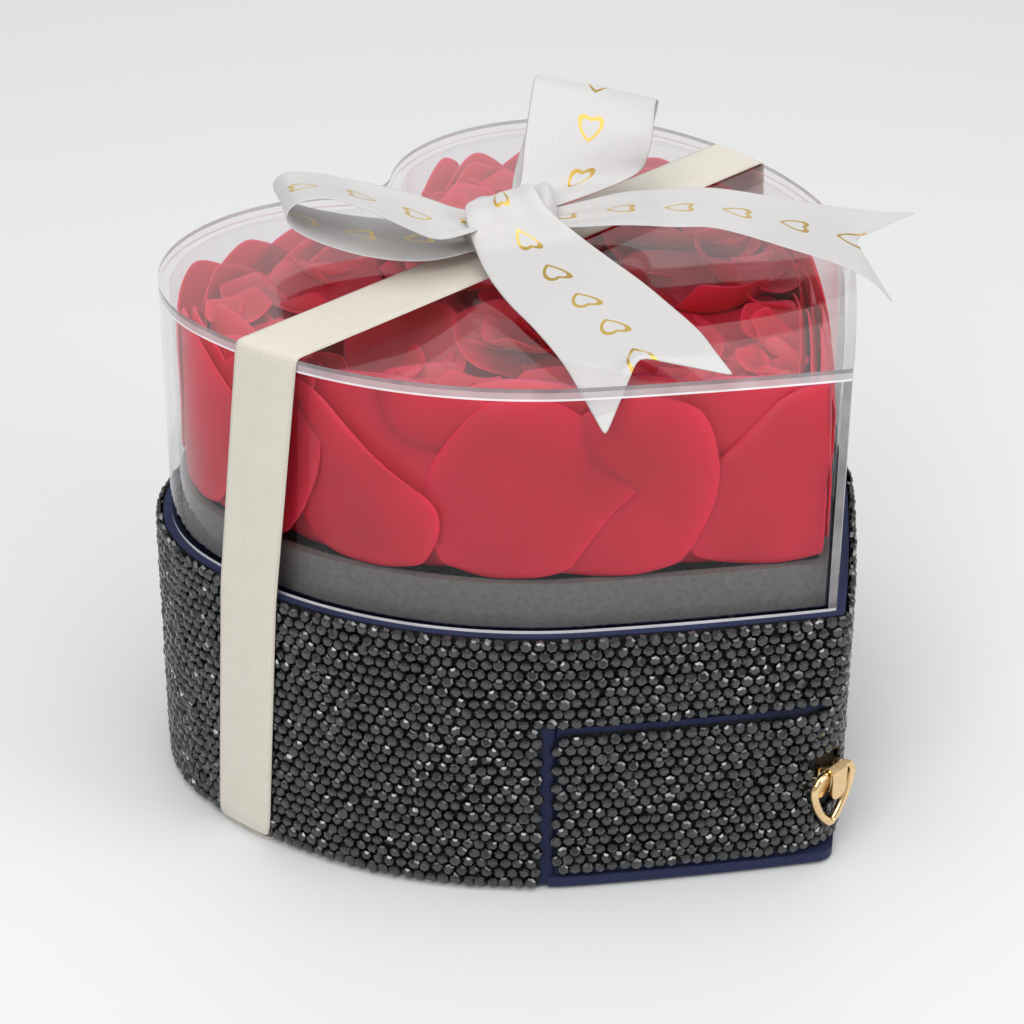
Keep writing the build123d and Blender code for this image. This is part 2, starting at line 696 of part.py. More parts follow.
with BuildPart() as ribbon_band:
    with BuildSketch(Plane.XY.offset(box_height)):
        heart_face(lid_setback - band_thick / 2)
        with Locations((0, band_y)):
            Rectangle(heart_width, band_width, mode=Mode.INTERSECT)
    extrude(amount=band_thick)
    for hand in (-1, 1):
        with BuildSketch(Plane.XY.offset(base_height)):
            band_section(-band_gap, hand, base_height)
        with BuildSketch(Plane.XY.offset(band_top)):
            band_section(lid_setback, hand, band_top)
        loft(ruled=True)
        with BuildSketch(Plane.XY.offset(band_foot)):
            band_section(-band_gap, hand, band_foot)
        with BuildSketch(Plane.XY.offset(base_height)):
            band_section(-band_gap, hand, base_height)
        loft(ruled=True)
ribbon_band.part.label = "ribbon_band"
export_step(ribbon_band.part, "parts/ribbon_band.step")

# Ribbon ends: turned under the base and glued to the floor board
with BuildPart() as ribbon_end_tabs:
    for hand, slant in ((-1, band_slant), (1, 0)):
        with BuildSketch(Plane.XY.offset(cover_thick - tab_thick)):
            heart_face(-band_gap)
            heart_face(tab_length, mode=Mode.SUBTRACT)
            with Locations((hand * heart_width / 2, band_y + slant)):
                Rectangle(heart_width, band_width, mode=Mode.INTERSECT)
        extrude(amount=tab_thick)
ribbon_end_tabs.part.label = "ribbon_end_tabs"
export_step(ribbon_end_tabs.part, "parts/ribbon_end_tabs.step")

# Bow knot: the ribbon wound round the middle of the bow, on the band
with BuildPart() as bow_knot:
    with BuildSketch(Plane.XY.offset(band_top)):
        with Locations((knot_x, band_y)):
            Circle(knot_radius)
    extrude(amount=knot_height)
    fillet(bow_knot.edges().filter_by(GeomType.CIRCLE), knot_round)
bow_knot.part.label = "bow_knot"
export_step(bow_knot.part, "parts/bow_knot.step")


# Bow loops and tails: bent ribbon, gathered at the knot
def bow_strip(points, root_height, angle, length, notch):
    """A ribbon bent along points in an upright plane, cut to its gathered outline in plan."""
    root_z = band_top + root_height
    turn = radians(angle)
    plan = Plane(origin=(knot_x, band_y, band_top), x_dir=(cos(turn), sin(turn), 0), z_dir=(0, 0, 1))
    half_root = bow_root_width / 2
    half_width = bow_width / 2
    far = length + bow_width
    end = [(far, half_width), (far, -half_width)]
    if notch > 0:
        end = [(length, half_width), (length - notch, 0), (length, -half_width)]
    near = [(0, half_root), (knot_radius, half_root), (bow_gather, half_width)]
    outline = near + end + [(s, -w) for s, w in reversed(near)]
    with BuildPart() as strip:
        with BuildSketch(upright_plane(knot_x, band_y, root_z, angle)):
            with BuildLine():
                upper = Spline(points)
                steps = [step / bow_steps for step in range(bow_steps + 1)]
                across = [(upper % t).rotate(Axis.Z, -90) * bow_thick for t in steps]
                lower = Spline([upper @ t + shift for t, shift in zip(steps, across)])
                Line(upper @ 0, lower @ 0)
                Line(upper @ 1, lower @ 1)
            make_face()
        extrude(amount=half_width, both=True)
        with BuildSketch(plan):
            with BuildLine():
                Polyline(outline, close=True)
            make_face()
        extrude(amount=heart_width, both=True, mode=Mode.INTERSECT)
        add(bow_knot.part, mode=Mode.SUBTRACT)
    return strip.part


def strip_points(shares, length, rise):
    """Points of a loop or tail from the knot outward, in its upright plane."""
    start = knot_radius * root_share
    return [(start + s * (length - start), h * rise) for s, h in shares]


left_loop_solid = bow_strip(
    strip_points(left_loop_shares, left_loop_length, left_loop_rise),
    loop_root_height,
    left_loop_angle,
    left_loop_length,
    0,
)
left_loop_solid.label = "bow_left_loop"
export_step(left_loop_solid, "parts/bow_left_loop.step")

upper_loop_solid = bow_strip(
    strip_points(upper_loop_shares, upper_loop_length, upper_loop_rise),
    loop_root_height,
    upper_loop_angle,
    upper_loop_length,
    0,
)
upper_loop_solid.label = "bow_upper_loop"
export_step(upper_loop_solid, "parts/bow_upper_loop.step")

front_tail_solid = bow_strip(
    strip_points(front_tail_shares, front_tail_length, front_tail_rise),
    tail_root_height,
    front_tail_angle,
    front_tail_length,
    bow_notch,
)
front_tail_solid.label = "bow_front_tail"
export_step(front_tail_solid, "parts/bow_front_tail.step")

right_tail_solid = bow_strip(
    strip_points(right_tail_shares, right_tail_length, right_tail_rise),
    tail_root_height,
    right_tail_angle,
    right_tail_length,
    bow_notch,
)
right_tail_solid.label = "bow_right_tail"
export_step(right_tail_solid, "parts/bow_right_tail.step")
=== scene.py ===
# Valentine heart box, dressed in the order in which it is put together: velvet-covered base, stones,
# drawer and pull, roses, clear lid, ribbon band, bow. Sizes of pieces are millimetres, and MM makes
# them metres.
import itertools
import math
import random

import bmesh
import bpy
import numpy as np
from mathutils import Matrix, Vector, noise


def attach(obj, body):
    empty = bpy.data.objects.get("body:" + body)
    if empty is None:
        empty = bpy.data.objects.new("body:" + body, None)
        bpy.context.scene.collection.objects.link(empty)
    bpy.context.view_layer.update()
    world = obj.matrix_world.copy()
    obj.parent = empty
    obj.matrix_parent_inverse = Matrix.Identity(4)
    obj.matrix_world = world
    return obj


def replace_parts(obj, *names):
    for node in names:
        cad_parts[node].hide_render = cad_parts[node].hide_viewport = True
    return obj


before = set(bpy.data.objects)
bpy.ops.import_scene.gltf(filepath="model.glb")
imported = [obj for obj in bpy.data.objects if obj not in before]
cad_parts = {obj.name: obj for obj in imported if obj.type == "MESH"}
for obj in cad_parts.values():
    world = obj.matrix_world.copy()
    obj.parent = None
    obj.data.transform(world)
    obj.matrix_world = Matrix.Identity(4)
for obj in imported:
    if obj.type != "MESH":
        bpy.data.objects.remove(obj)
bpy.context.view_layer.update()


# Base and drawer boards: greyboard wrapped in navy velvet, glued edge to edge.
# The pile shows as a fine grain with a soft sheen along the edges.
class Wire:
    """An output socket of a node tree that takes part in sums."""

    def __init__(self, tree, socket=None):
        self.tree = tree
        self.socket = socket

    def node(self, kind, inputs, output=0, **settings):
        """A new node with its settings and inputs made, as the wire of one of its outputs."""
        made = self.tree.nodes.new(kind)
        for key, value in settings.items():
            setattr(made, key, value)
        for key, value in inputs.items():
            if isinstance(value, Wire):
                self.tree.links.new(value.socket, made.inputs[key])
            else:
                made.inputs[key].default_value = value
        return Wire(self.tree, made.outputs[output])

    def maths(self, operation, other=0.0):
        """A Math node on this value."""
        return self.node("ShaderNodeMath", {0: self, 1: other}, operation=operation)

    def __add__(self, other):
        return self.maths("ADD", other)

    def __sub__(self, other):
        return self.maths("SUBTRACT", other)

    def __rsub__(self, other):
        return self.node("ShaderNodeMath", {0: other, 1: self}, operation="SUBTRACT")

    def __mul__(self, other):
        return self.maths("MULTIPLY", other)

    __radd__ = __add__
    __rmul__ = __mul__

    def ramp(self, low, high, start, end):
        """This value moved from the range low to high into the range start to end, clamped."""
        return self.node("ShaderNodeMapRange", {0: self, 1: low, 2: high, 3: start, 4: end})

    def colours(self, first, second):
        """Colour between first and second, by this value."""
        return self.node("ShaderNodeMix", {0: self, 6: first, 7: second}, output=2, data_type="RGBA")

    def shades(self, dark, pale):
        """Colour between dark and pale, over the range that noise mostly covers."""
        return self.ramp(0.3, 0.7, 0.0, 1.0).colours(dark, pale)

    def bump(self, strength, distance):
        """Normal of a surface that this value raises."""
        return self.node("ShaderNodeBump", {"Height": self, "Strength": strength, "Distance": distance})

    def mottle(self, scale, detail=2.0):
        """Noise on the piece's own coordinates."""
        place = self.node("ShaderNodeTexCoord", {}, output=3)
        return self.node("ShaderNodeTexNoise", {"Vector": place, "Scale": scale, "Detail": detail})

    def marked(self, name):
        """Value that the mesh carries under a name."""
        return self.node("ShaderNodeAttribute", {}, output=2, attribute_name=name)


def new_material(name, colour, roughness, **constants):
    """A Principled material with constant sockets set, its shader, and a wire to start patterns from."""
    made = bpy.data.materials.new(name)
    made.use_nodes = True
    shader = made.node_tree.nodes["Principled BSDF"]
    shader.inputs["Base Color"].default_value = (*colour, 1.0)
    shader.inputs["Roughness"].default_value = roughness
    for key, value in constants.items():
        shader.inputs[key.replace("_", " ").title().replace("Ior", "IOR")].default_value = value
    return made, shader, Wire(made.node_tree)


def feed(shader, key, wire):
    """Link a wire to an input of the shader."""
    wire.tree.links.new(wire.socket, shader.inputs[key])


def dress(material, *names):
    """Give CAD nodes their material."""
    for name in names:
        slots = bpy.data.objects[name].data.materials
        slots.clear()
        slots.append(material)


velvet, shader, wire = new_material(
    "navy_velvet",
    (0.008, 0.012, 0.05),
    0.85,
    sheen_weight=0.3,
    sheen_roughness=0.4,
    sheen_tint=(0.2, 0.26, 0.55, 1),
)
pile = wire.mottle(1800.0, 3.0)
brushed = wire.mottle(60.0)
nap = pile * 0.55 + brushed * 0.45
feed(shader, "Base Color", nap.shades((0.004, 0.007, 0.032, 1), (0.013, 0.02, 0.078, 1)))
feed(shader, "Normal", pile.bump(0.35, 0.0003))
dress(velvet, "bottom_cover", "base_floor", "base_wall", "drawer_front", "drawer_floor")
dress(velvet, "drawer_left_side", "drawer_right_side", "drawer_back")

# Neck, shelf and drawer bay: greyboard covered with dark grey paper, glued inside the wall.
# Paper fibre gives it a faint mottled grain.
board, shader, wire = new_material("grey_board", (0.105, 0.105, 0.1), 0.72)
fibre = wire.mottle(900.0, 5.0)
feed(shader, "Base Color", fibre.shades((0.125, 0.125, 0.12, 1), (0.17, 0.17, 0.163, 1)))
feed(shader, "Normal", fibre.bump(0.2, 0.0002))
dress(board, "lid_neck", "shelf", "left_drawer_guide", "right_drawer_guide", "bay_back_stop")

# Flower foam: dark open-cell block, cut to the heart and set inside the neck.
# It holds the stems of the roses; its open cells make it rough and almost black, and the hollows of the
# cells are painted darker as shade.
foam, shader, wire = new_material("flower_foam", (0.05, 0.052, 0.05), 0.95)
place = wire.node("ShaderNodeTexCoord", {}, output=3)
cells = wire.node("ShaderNodeTexVoronoi", {"Vector": place, "Scale": 900.0})
# Painted shade: each cell is darker toward its hollow middle.
hollow = cells.ramp(0.0, 0.6, 0.0, 1.0)
feed(shader, "Base Color", hollow.colours((0.02, 0.02, 0.02, 1), (0.075, 0.078, 0.074, 1)))
feed(shader, "Normal", cells.bump(0.6, 0.0005))
dress(foam, "foam_bed")

# Stones of the base: thousands of small faceted black resin stones on a dark mesh, glued round the wall.
# They are packed in brick-like rows that waver a little, so each one catches the light differently.
MM = 0.001
half_width = 70.0
lobe_radius = 39.5
shoulder_radius = 84.0
side_radius = 600.0
cleft_radius = 8.0
shoulder_angle = math.radians(4.5)
side_angle = math.radians(-51.0)
shoulder_y = (lobe_radius - shoulder_radius) * math.sin(shoulder_angle)
shoulder_at = Vector((half_width - shoulder_radius, shoulder_y))


def new_piece(name, bm, body, material, smooth=True):
    """An object at the origin from a bmesh, riding on a body."""
    mesh = bpy.data.meshes.new(name)
    bm.to_mesh(mesh)
    bm.free()
    for face in mesh.polygons:
        face.use_smooth = smooth
    made = bpy.data.objects.new(name, mesh)
    bpy.context.scene.collection.objects.link(made)
    mesh.materials.append(material)
    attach(made, body)
    return made


def mark(made, name, values):
    """A value at each corner of a piece, for its material to read."""
    layer = made.data.attributes.new(name, "FLOAT", "POINT")
    layer.data.foreach_set("value", np.array(values, dtype=np.float32))


def heart_outline(inset, tip_radius, count):
    """Points and outward normals along the heart moved inward by inset, from its point, and its length."""
    arc_steps = 200
    lobe_at = Vector((shoulder_at.x + (shoulder_radius - lobe_radius) * math.cos(shoulder_angle), 0.0))
    side_way = Vector((math.cos(side_angle), math.sin(side_angle)))
    side_at = shoulder_at - (side_radius - shoulder_radius) * side_way
    cleft_at = Vector((0.0, math.sqrt((lobe_radius + cleft_radius) ** 2 - lobe_at.x**2)))
    lobe_end = math.atan2(cleft_at.y, -lobe_at.x)
    tip_at = Vector((0.0, side_at.y - math.sqrt((side_radius - inset - tip_radius) ** 2 - side_at.x**2)))
    tip_angle = math.atan2(tip_at.y - side_at.y, -side_at.x)
    arcs = [
        (tip_at, tip_radius, -math.pi / 2, tip_angle),
        (side_at, side_radius - inset, tip_angle, side_angle),
        (shoulder_at, shoulder_radius - inset, side_angle, shoulder_angle),
        (lobe_at, lobe_radius - inset, shoulder_angle, lobe_end),
        (cleft_at, cleft_radius + inset, lobe_end - math.pi, -math.pi / 2),
    ]
    half = []
    for centre, radius, start, end in arcs:
        hollow = -1.0 if end < start else 1.0
        for k in range(arc_steps):
            angle = start + (end - start) * k / arc_steps
            way = Vector((math.cos(angle), math.sin(angle)))
            half.append((centre + radius * way, way * hollow))
    dense = half + [(Vector((-p.x, p.y)), Vector((-n.x, n.y))) for p, n in reversed(half)]
    lengths = np.cumsum([0.0] + [(dense[k + 1][0] - dense[k][0]).length for k in range(len(dense) - 1)])
    table = np.array([[*p, *n] for p, n in dense])
    at = np.linspace(0.0, lengths[-1], count, endpoint=False)
    return [np.interp(at, lengths, column) for column in table.T], lengths[-1]


def outline_at(inset, tip_radius):
    """A function from a length along the heart to the point and normal there, and the heart's length."""
    steps = 1800
    (x, y, nx, ny), length = heart_outline(inset, tip_radius, steps)

    def at(along):
        k = round(along / length * steps) % steps
        return Vector((x[k], y[k])), Vector((nx[k], ny[k])).normalized()

    return at, length


def set_stones(name, spots, body):
    """One mesh of small faceted stones, each at a spot, facing along its normal."""
    cut = bmesh.new()
    bmesh.ops.create_cone(cut, cap_ends=True, segments=7, radius1=1.3, radius2=1.06, depth=0.6)
    under = [face for face in cut.faces if face.normal.z < -0.9]
    table = [face for face in cut.faces if face.normal.z > 0.9]
    bmesh.ops.delete(cut, geom=under, context="FACES_ONLY")
    bmesh.ops.inset_individual(cut, faces=table, thickness=0.4, depth=0.28)
    gem = bpy.data.meshes.new("gem")
    cut.to_mesh(gem)
    cut.free()
    shape = np.array([v.co for v in gem.vertices])
    bm = bmesh.new()
    for place, normal, size, spin, lean in spots:
        turn = normal.to_track_quat("Z", "Y").to_matrix() @ Matrix.Rotation(lean[0], 3, "X")
        turn = turn @ Matrix.Rotation(lean[1], 3, "Y") @ Matrix.Rotation(spin, 3, "Z")
        moved = (shape * (size, size, 1.0)) @ np.array(turn).T + np.array(place)
        gem.vertices.foreach_set("co", (moved * MM).ravel())
        bm.from_mesh(gem)
    made = new_piece(name, bm, body, stones, smooth=False)
    tones = [spin / math.tau for place, normal, size, spin, lean in spots]
    mark(made, "tone", np.repeat(tones, len(shape)))
    bpy.data.meshes.remove(gem)
    return made


def stone_spots(at, length, low, high, keep, seed):
    """Brick-packed places for stones between two heights, with a little waver."""
    dice = random.Random(seed)
    pitch = 2.36
    rise = 2.06
    sunk = 0.5
    spots = []
    rows = round((high - low) / rise)
    across = round(length / pitch)
    for row, k in itertools.product(range(rows), range(across)):
        along = (k + 0.5 * (row % 2)) * length / across
        waver = 0.28 * noise.noise(Vector((along * 0.04, row * 0.25, seed)))
        z = low + (row + 0.5) * (high - low) / rows + waver + dice.uniform(-0.1, 0.1)
        where, normal = at(along + dice.uniform(-0.12, 0.12))
        if not keep(where, z):
            continue
        depth = sunk + dice.uniform(-0.08, 0.08)
        spot = where - normal * depth
        lean = (dice.gauss(0, 0.2), dice.gauss(0, 0.2))
        size = dice.uniform(0.94, 1.05)
        spots.append(((spot.x, spot.y, z), normal.to_3d(), size, dice.uniform(0, math.tau), lean))
    return spots


stones, shader, wire = new_material("black_stones", (0.01, 0.01, 0.012), 0.12, ior=1.8)
tone = wire.marked("tone")
feed(shader, "Base Color", tone.colours((0.002, 0.002, 0.003, 1), (0.014, 0.014, 0.016, 1)))
feed(shader, "Roughness", tone.ramp(0.0, 1.0, 0.05, 0.2))
base_stone_foot = 1.0
base_stone_top = 54.9
above_drawer = 36.8
beside_drawer_y = -62.6


def on_base(where, z):
    """True where the base carries stones: all round above the drawer, and clear of its opening below."""
    return z > above_drawer or where.y > beside_drawer_y


base_at, base_length = outline_at(0.0, 3.0)
spots = stone_spots(base_at, base_length, base_stone_foot, base_stone_top, on_base, 3)
base_stones = set_stones("base_stones", spots, "base")
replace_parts(base_stones, "base_rhinestones")

# Backing of the base stones: black mesh cloth that the stones are set on, glued to the velvet.
# It shows only as the dark between the stones, and leaves the drawer's opening free.
backing_inset = 1.2
base_backing_foot = 0.85
base_backing_top = 54.95
opening_top = 36.3
opening_side_y = -62.8
mesh_cloth, shader, wire = new_material("stone_backing", (0.008, 0.008, 0.01), 0.8)
feed(shader, "Base Color", wire.mottle(1500.0).colours((0.002, 0.002, 0.003, 1), (0.007, 0.007, 0.009, 1)))


def add_strip(bm, points, low, high):
    """An upright strip along points, between two heights."""
    verts = [bm.verts.new((p.x * MM, p.y * MM, low * MM)) for p in points]
    edges = [bm.edges.new(pair) for pair in zip(verts, verts[1:])]
    grown = bmesh.ops.extrude_edge_only(bm, edges=edges)["geom"]
    raised = [item for item in grown if isinstance(item, bmesh.types.BMVert)]
    bmesh.ops.translate(bm, verts=raised, vec=(0, 0, (high - low) * MM))


backing_at, backing_length = outline_at(backing_inset, 1.8)
ring = [backing_at(backing_length * k / 240)[0] for k in range(241)]
bm = bmesh.new()
add_strip(bm, ring, opening_top, base_backing_top)
add_strip(bm, [p for p in ring if p.y > opening_side_y], base_backing_foot, opening_top)
new_piece("base_stone_backing", bm, "base", mesh_cloth)

# Stones of the drawer: the same stones on the same mesh cloth, glued on the velvet of the drawer front.
# The strap of the pull is set first, so the stones stop round it.
drawer_stone_foot = 3.9
drawer_stone_top = 34.3
drawer_backing_foot = 3.7
drawer_backing_top = 34.5
strap_half_width = 3.6
strap_foot = 13.0
strap_top = 23.6
front_side_y = -64.8
backing_side_y = -64.4


def on_drawer(where, z):
    """True where the drawer front carries stones, clear of the strap of the pull."""
    strap = abs(where.x) < strap_half_width and strap_foot < z < strap_top
    return where.y < front_side_y and not strap


drawer_at, drawer_length = outline_at(0.0, 13.4)
spots = stone_spots(drawer_at, drawer_length, drawer_stone_foot, drawer_stone_top, on_drawer, 8)
drawer_stones = set_stones("drawer_stones", spots, "drawer")
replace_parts(drawer_stones, "drawer_rhinestones")
backing_at, backing_length = outline_at(backing_inset, 12.2)
ring = [backing_at(backing_length * (k / 120 - 0.25))[0] for k in range(61)]
bm = bmesh.new()
add_strip(bm, [p for p in ring if p.y < backing_side_y], drawer_backing_foot, drawer_backing_top)
new_piece("drawer_stone_backing", bm, "drawer", mesh_cloth)

# Pull: strap, rivet and heart-shaped ring of cast metal, plated and polished in light gold.
# The ring hangs in the strap, which the rivet holds to the drawer front.
gold, shader, wire = new_material("gold_metal", (0.87, 0.62, 0.33), 0.16, metallic=1.0)
rubbed = wire.mottle(700.0, 4.0)
feed(shader, "Roughness", rubbed.ramp(0.3, 0.75, 0.1, 0.26))
feed(shader, "Base Color", rubbed.shades((0.83, 0.57, 0.28, 1), (0.91, 0.67, 0.38, 1)))
dress(gold, "pull_bracket", "pull_rivet", "pull_ring")
for name in ("pull_bracket", "pull_rivet", "pull_ring"):
    for face in bpy.data.objects[name].data.polygons:
        face.use_smooth = name == "pull_ring"

# Drawer insert: foam block with ring slots and a round well, wrapped in the same velvet.
# The cloth rounds its edges and slots, and the block sits in the drawer.
bm = bmesh.new()
bm.from_mesh(bpy.data.objects["jewellery_insert"].data)
bmesh.ops.remove_doubles(bm, verts=bm.verts, dist=0.00001)
bmesh.ops.dissolve_limit(bm, angle_limit=0.02, verts=bm.verts, edges=bm.edges)
rims = [edge for edge in bm.edges if len(edge.link_faces) == 2 and edge.calc_face_angle() > 0.8]
bmesh.ops.bevel(
    bm, geom=rims, offset=0.0006, segments=3, profile=0.5, affect="EDGES", material=-1, clamp_overlap=True
)
insert = new_piece("velvet_insert", bm, "drawer", velvet)
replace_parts(insert, "jewellery_insert")

# Roses: soft red petals wrapped in a spiral round a bud, the outer ones opening and rolling back.
# Each stands on a stem pushed into the foam, one in each lobe and one toward the point.
petals, shader, wire = new_material(
    "red_petals",
    (0.5, 0.01, 0.035),
    0.62,
    subsurface_weight=0.45,
    subsurface_radius=(0.006, 0.0012, 0.0016),
    subsurface_scale=1.0,
)
cloud = wire.mottle(45.0)
# Painted highlight: petal rims are made lighter by the rim weight that each petal mesh carries.
rim = wire.marked("rim")
tone_and_rim_highlight = cloud.ramp(0.3, 0.7, 0.0, 0.75) + rim * 0.45
feed(shader, "Base Color", tone_and_rim_highlight.colours((0.58, 0.0015, 0.016, 1), (0.95, 0.008, 0.054, 1)))
feed(shader, "Normal", wire.mottle(1400.0).bump(0.1, 0.0002))
feed(shader, "Roughness", cloud.ramp(0.3, 0.7, 0.48, 0.66))
foam_top = 60.0
rose_height = 37.0
petal_thickness = 0.45
lobe_rose_x = 30.4
tip_rose_y = -45.0


def thicken(made, thickness):
    """Give a sheet its thickness and smooth it."""
    thick = made.modifiers.new("thickness", "SOLIDIFY")
    thick.thickness = thickness * MM
    thick.offset = 0.0
    smooth = made.modifiers.new("smooth", "SUBSURF")
    smooth.levels = smooth.render_levels = 1


def finish_petals(name, bm, rims):
    """Petals as one piece of the base, with the weight of their painted rim highlight marked, thickened and
    smoothed.
    """
    made = new_piece(name, bm, "base", petals)
    mark(made, "rim", rims)
    thicken(made, petal_thickness)
    return made


def grow_rose(name, centre, radius, turn, node, seed):
    """A rose: petals along a golden-angle spiral from the closed bud to the open rim."""
    count = 26
    golden_angle = 2.39996
    bm = bmesh.new()
    rims = []
    for k in range(count):
        share = k / (count - 1)
        azimuth = turn + k * golden_angle
        reach = radius * (0.13 + 0.84 * share**0.85)
        top = rose_height * (1.0 - 0.20 * share + 0.05 * math.sin(k * 1.9))
        spread = 1.55 - 0.72 * share
        grid = bmesh.ops.create_grid(bm, x_segments=9, y_segments=9, size=1.0)["verts"]
        for vert in grid:
            u, v = vert.co.x, (vert.co.y + 1.0) / 2.0
            ripple = noise.noise(Vector((u * 1.6 + seed, v * 2.0, k * 3.7)))
            width = math.sin(math.pi * (0.16 + 0.62 * v)) ** 0.55
            rolled = max(0.0, (v - 0.66) / 0.34)
            r = reach * (0.25 + 0.75 * v**0.65) + radius * 0.13 * share * rolled**2
            r += radius * 0.05 * u * u * v * share + radius * 0.035 * ripple * v
            r -= radius * 0.05 * u * share * v
            r = min(r, radius * 1.02)
            z = top * v**0.92 - rose_height * 0.10 * share * rolled**2 - top * 0.13 * abs(u) ** 3 * v
            z += rose_height * 0.04 * ripple * v
            angle = azimuth + u * spread * width
            spot = Vector((centre[0] + r * math.cos(angle), centre[1] + r * math.sin(angle), foam_top + z))
            vert.co = spot * MM
            # Weight of the painted highlight along the petal's rim.
            rims.append(abs(u) ** 6 * v + v**8)
    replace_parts(finish_petals(name, bm, rims), node)


grow_rose("rose_left_petals", (-lobe_rose_x, 0.0), 30.5, 0.4, "rose_left", 1.0)
grow_rose("rose_right_petals", (lobe_rose_x, 0.0), 30.5, 2.1, "rose_right", 5.0)
grow_rose("rose_tip_petals", (0.0, tip_rose_y), 26.0, 4.4, "rose_tip", 9.0)

# Loose petals: broad single petals that stand on the neck and lean against the clear wall, in three layers.
# Each is tucked behind the next, and those in the back of the lobes stand straighter and come to a point.
neck_top = 64.1
below_plate = 101.6
lid_inner_inset = 5.0
petals_a_side = 8
first_petal = 14.0
tallest_petal = 37.3
wall_at, wall_length = outline_at(lid_inner_inset, 0.6)
petal_step = (wall_length / 2 - 8.0) / petals_a_side
bm = bmesh.new()
rims = []
dice = random.Random(21)
for layer, side, k in itertools.product(range(3), (-1, 1), range(petals_a_side)):
    middle = first_petal + (k + 0.45 * layer + dice.uniform(-0.15, 0.15)) * petal_step
    half = dice.uniform(16.0, 21.0) + 2.0 * layer
    top = dice.uniform(33.5, 36.5) + 0.6 * layer
    curl, droop, point = 16.0, (8.0, 5.0, 5.0)[layer], 2.2
    if k > 4:
        top, curl, droop, point = min(top + 2.5, tallest_petal), 3.0, 9.0, 1.3
    lean = dice.uniform(-12.0, 12.0 if k else 0.0)
    peak = dice.uniform(-0.75, 0.75) if layer < 1 else dice.uniform(-0.3, 0.3)
    grid = bmesh.ops.create_grid(bm, x_segments=14, y_segments=12, size=1.0)["verts"]
    for vert in grid:
        u, v = vert.co.x, (vert.co.y + 1.0) / 2.0
        ripple = noise.noise(Vector((u * 1.3 + k * 5.0, v * 1.5, 4.0 + layer + side)))
        width = math.sin(math.pi * (0.17 + 0.56 * v)) ** 0.6
        along = max(middle + u * half * width + lean * v * v, 1.2 + 0.4 * layer)
        where, normal = wall_at(side * along)
        depth = 0.8 + 2.4 * layer + 0.8 * (1.0 + u) + curl * max(0.0, v - 0.62) ** 2 + 0.8 * ripple
        z = neck_top + top * v - droop * abs(u - peak) ** point * v**2 + 1.2 * ripple * v
        z += 2.2 * u * u * (1.0 - v) ** 2
        spot = where - normal * max(0.7, depth)
        vert.co = Vector((spot.x, spot.y, min(z, below_plate))) * MM
        # Weight of the painted highlight along the petal's rim.
        rims.append(abs(u) ** 8 + v**10)
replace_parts(finish_petals("wall_petal_sheets", bm, rims), "wall_petals")

# Petal bed: more petals between the roses, two layers strewn over the foam and a row along the wall.
# They are cupped, lie loose and fill the box up to the lid.
bed_ceiling = 100.8
bed_margin = 6.5
rose_clearance = 11.0
row_inset = 13.0
row_step = 9
bm = bmesh.new()
rims = []
dice = random.Random(31)
centres = (Vector((-lobe_rose_x, 0.0)), Vector((lobe_rose_x, 0.0)), Vector((0.0, tip_rose_y)))


def room_at(spot):
    """Distance from a spot inside the heart to its wall."""
    return min((spot - wall_at(along)[0]).length for along in range(0, int(wall_length), 4))


def lay_petal(spot, size, low, top):
    """One cupped petal of the bed, between two heights, turned and tilted by chance."""
    turn = Matrix.Rotation(dice.uniform(0.0, math.tau), 3, "Z")
    turn = turn @ Matrix.Rotation(dice.uniform(-0.7, 0.7), 3, "X")
    middle = Vector((spot.x, spot.y, dice.uniform(low, top)))
    grid = bmesh.ops.create_grid(bm, x_segments=6, y_segments=6, size=1.0)["verts"]
    for vert in grid:
        u, v = vert.co.x, vert.co.y
        wide, long = math.sqrt(1.0 - 0.45 * v * v), math.sqrt(1.0 - 0.45 * u * u)
        laid = middle + turn @ Vector((u * size * wide, v * size * long, 0.25 * size * (u * u + v * v)))
        vert.co = Vector((laid.x, laid.y, min(laid.z, bed_ceiling))) * MM
        # Weight of the painted highlight along the petal's rim.
        rims.append(max(abs(u), abs(v)) ** 8)


for tries, low, top in ((500, 71.0, 78.0), (1100, 83.0, 94.0)):
    placed = []
    for k in range(tries):
        where, normal = wall_at(dice.uniform(0.0, wall_length))
        spot = where - normal * dice.uniform(11.0, 54.0)
        size = min(dice.uniform(9.5, 12.5), room_at(spot) - bed_margin)
        close = min((spot - centre).length for centre in centres) < rose_clearance
        if size < 5.0 or close or any((spot - other).length < 0.72 * size for other in placed):
            continue
        placed.append(spot)
        lay_petal(spot, size, low, top)
for along in range(0, int(wall_length), row_step):
    where, normal = wall_at(along)
    spot = where - normal * row_inset
    size = min(dice.uniform(7.0, 9.0), room_at(spot) - bed_margin)
    if size > 4.0:
        lay_petal(spot, size, 90.0, 95.5)
finish_petals("petal_bed", bm, rims)

# Lid: clear acrylic, a bent heart wall with a plate bonded flush on top, open below.
# Its edges have materials of their own, with painted light: grey painted reflection on the plate's top edge
# and down the point, a pale painted reflection on the band round the plate, and a white painted glint on
# the foot and along the glue joint.
lid_foot = 55.0
plate_under = 102.0
lid_top = 104.0
foot_edge = 0.6
glue_line = 0.4
plate_edge = 0.8
lid_outer_inset = 3.0
lid_steps = 264
clear = bpy.data.materials.new("clear_acrylic")
clear.use_nodes = True
wire = Wire(clear.node_tree)
clear.node_tree.nodes.remove(clear.node_tree.nodes["Principled BSDF"])
gloss = wire.node("ShaderNodeBsdfGlossy", {"Color": (1, 1, 1, 1), "Roughness": 0.03})
through = wire.node("ShaderNodeBsdfTransparent", {"Color": (0.955, 0.946, 0.95, 1)})
facing = wire.node("ShaderNodeLayerWeight", {"Blend": 0.5}, output=1)
shine = facing.maths("POWER", 5.0) * 0.9 + 0.014
surface = wire.node("ShaderNodeMixShader", {0: shine, 1: through, 2: gloss})
feed(clear.node_tree.nodes["Material Output"], "Surface", surface)

